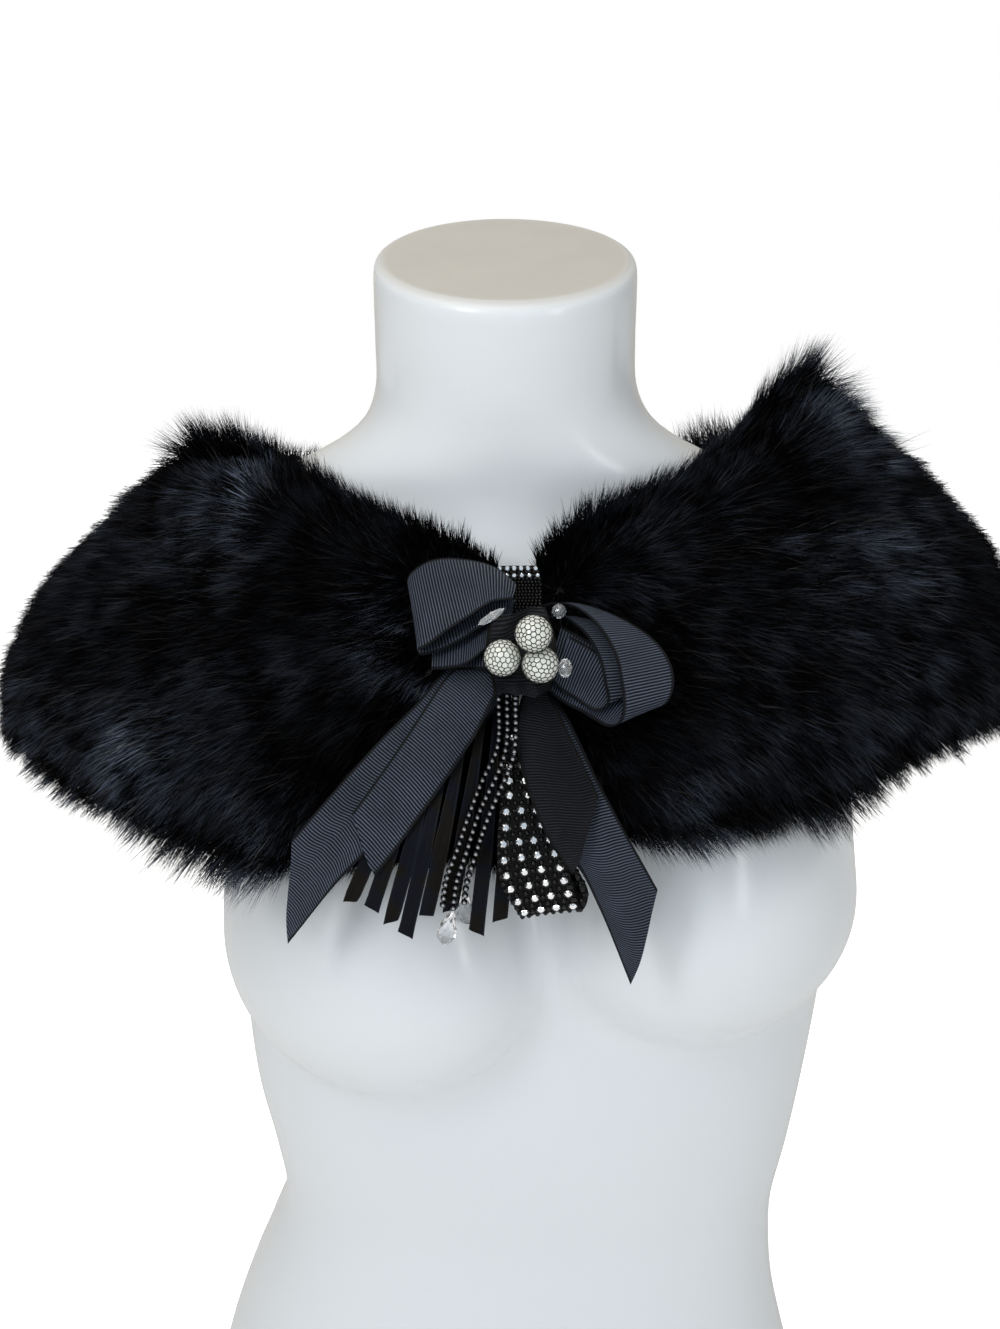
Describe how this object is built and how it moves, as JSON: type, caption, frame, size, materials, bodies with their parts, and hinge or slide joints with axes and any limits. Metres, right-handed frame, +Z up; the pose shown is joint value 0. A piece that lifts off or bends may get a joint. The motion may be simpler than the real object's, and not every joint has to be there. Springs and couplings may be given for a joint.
{
  "type": "fur capelet on dress form",
  "caption": "Short black fur capelet closed at the neck with a ribbon bow, bead strands and crystal trim, on a limbless white dress form with a flat base.",
  "frame": {"origin": "on the floor plane under the dress form, on its flat base and below the middle of the neck opening", "axes": "+Z up along the form, -Y towards the front with the bow, +X towards the viewer's right when facing the front"},
  "size_m": [0.5273, 0.3289, 0.7046],
  "materials": {
    "form_plastic": "glossy white moulded plastic with a matt neck cap",
    "black_fur": "dense black fur, soft, with a faint blue-grey sheen",
    "ribbed_ribbon": "ribbed ribbon, charcoal blue, slightly glossy ribs",
    "satin_ribbon": "narrow black satin ribbon",
    "stone_net": "black net set with clear stones",
    "black_beads": "shiny black beads",
    "netted_ball": "pale pearl ball under a fine black net",
    "clear_crystal": "clear faceted crystal"
  },
  "bodies": {
    "root": {"ball_left": "netted_ball", "ball_right": "netted_ball", "ball_top": "netted_ball", "bead_strands": "black_beads", "bow_knot": "ribbed_ribbon", "bow_loop_left_lower": "ribbed_ribbon", "bow_loop_left_upper": "ribbed_ribbon", "bow_loop_right_inner": "ribbed_ribbon", "bow_loop_right_outer": "ribbed_ribbon", "bow_tail_left_inner": "ribbed_ribbon", "bow_tail_left_outer": "ribbed_ribbon", "bow_tail_right_inner": "ribbed_ribbon", "bow_tail_right_outer": "ribbed_ribbon", "closure_net": "stone_net", "crystal_drop_back": "clear_crystal", "crystal_drop_front": "clear_crystal", "crystal_long": "clear_crystal", "crystal_lower": "clear_crystal", "crystal_upper": "clear_crystal", "dress_form": "form_plastic", "fur_back": "black_fur", "fur_front_left": "black_fur", "fur_front_right": "black_fur", "net_loop": "stone_net", "ribbon_fringe": "satin_ribbon"}
  },
  "joints": []
}
